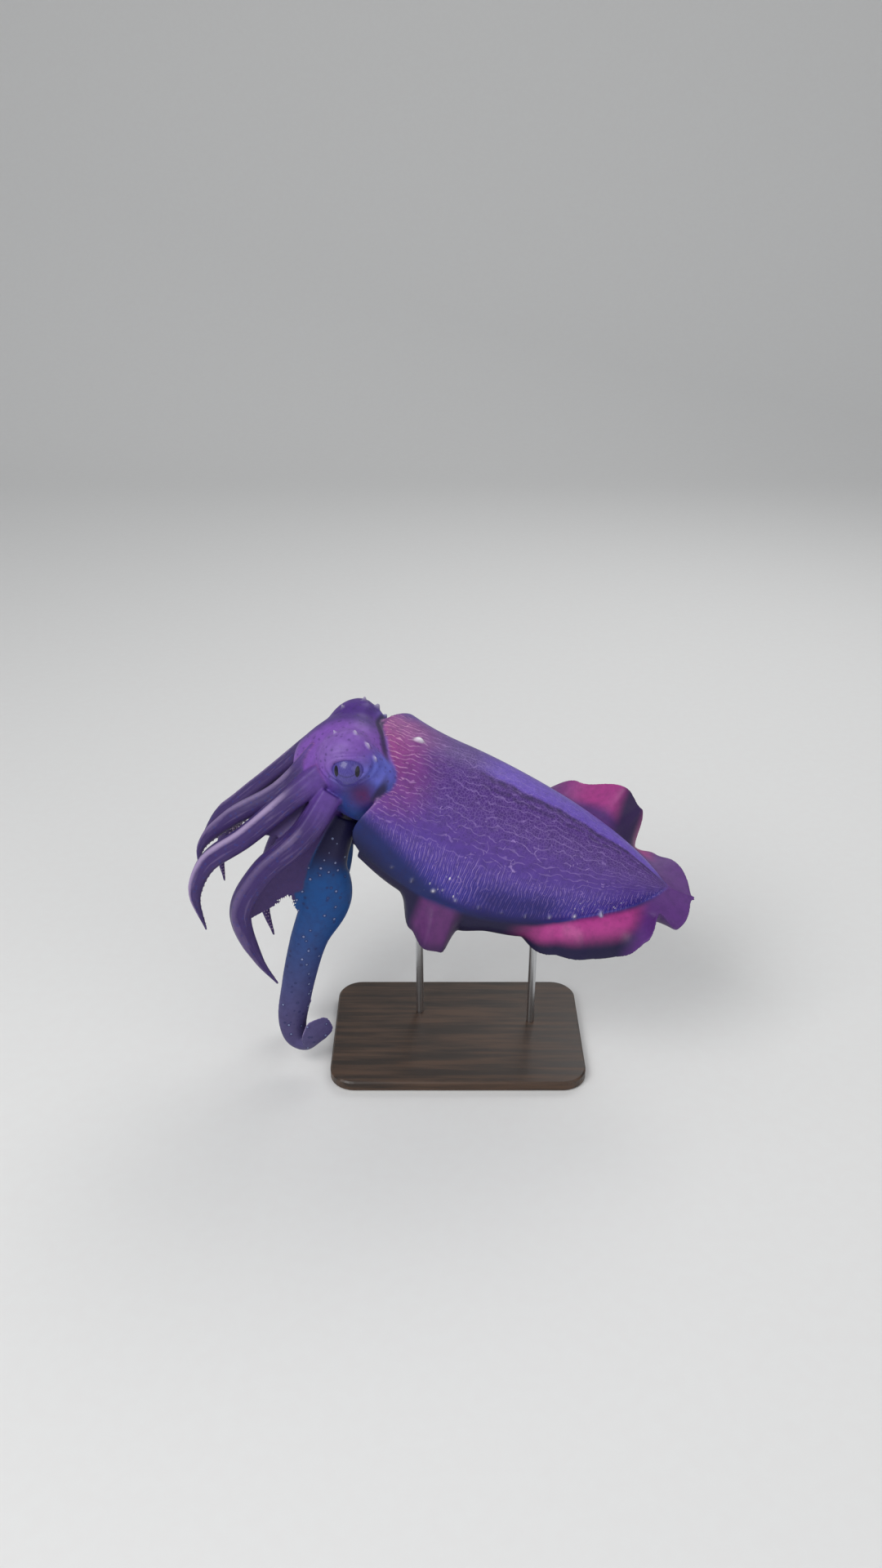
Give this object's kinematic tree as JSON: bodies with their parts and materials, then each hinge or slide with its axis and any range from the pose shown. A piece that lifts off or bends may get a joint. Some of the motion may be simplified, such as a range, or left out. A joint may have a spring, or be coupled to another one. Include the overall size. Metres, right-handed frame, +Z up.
{
  "type": "giant cuttlefish model",
  "caption": "Life-size still model of a giant Australian cuttlefish swimming with its arms let down, fins rippling, held on two rods above a flat display base.",
  "frame": {"origin": "middle of the underside of the display base, on the surface that it stands on", "axes": "+Z up; -X the way the head points, so +X runs towards the tail; -Y the side that the animal's left eye faces"},
  "size_m": [0.614, 0.2663, 0.4895],
  "materials": {
    "mantle_skin": "violet to magenta cast skin, fine pale wavy lines and dark specks, satin with a wet sheen",
    "head_skin": "violet cast skin, blue cheek with a reddish patch below the eye, satin with a wet sheen",
    "funnel_skin": "dark blue-violet cast skin, satin",
    "arm_skin": "dusty violet cast skin with paler keels and pale suckers, satin",
    "ventral_arm_skin": "blue cast skin with pale dark-ringed dots, satin",
    "fin_skin": "magenta cast skin, darker and purple below, satin",
    "mouth_skin": "pale frilled lip round a dark mouth, satin",
    "eye": "dark blue-violet iris with a black W-shaped pupil under a clear gloss",
    "stand_base": "dark stained wood, closed satin grain, eased edges",
    "stand_rod": "brushed bright steel rod"
  },
  "bodies": {
    "root": {"arm_left_1_base": "arm_skin", "arm_left_1_middle": "arm_skin", "arm_left_1_tip": "arm_skin", "arm_left_2_base": "arm_skin", "arm_left_2_middle": "arm_skin", "arm_left_2_tip": "arm_skin", "arm_left_3_base": "arm_skin", "arm_left_3_middle": "arm_skin", "arm_left_3_tip": "arm_skin", "arm_left_4_base": "ventral_arm_skin", "arm_left_4_middle": "ventral_arm_skin", "arm_left_4_tip": "ventral_arm_skin", "arm_right_1_base": "arm_skin", "arm_right_1_middle": "arm_skin", "arm_right_1_tip": "arm_skin", "arm_right_2_base": "arm_skin", "arm_right_2_middle": "arm_skin", "arm_right_2_tip": "arm_skin", "arm_right_3_base": "arm_skin", "arm_right_3_middle": "arm_skin", "arm_right_3_tip": "arm_skin", "arm_right_4_base": "ventral_arm_skin", "arm_right_4_middle": "ventral_arm_skin", "arm_right_4_tip": "ventral_arm_skin", "eye_left": "eye", "eye_right": "eye", "fin_left_front": "fin_skin", "fin_left_middle": "fin_skin", "fin_left_rear": "fin_skin", "fin_right_front": "fin_skin", "fin_right_middle": "fin_skin", "fin_right_rear": "fin_skin", "funnel": "funnel_skin", "head": "head_skin", "mantle": "mantle_skin", "mouth": "mouth_skin", "stand_base": "stand_base", "stand_rod_front": "stand_rod", "stand_rod_rear": "stand_rod"}
  },
  "joints": []
}
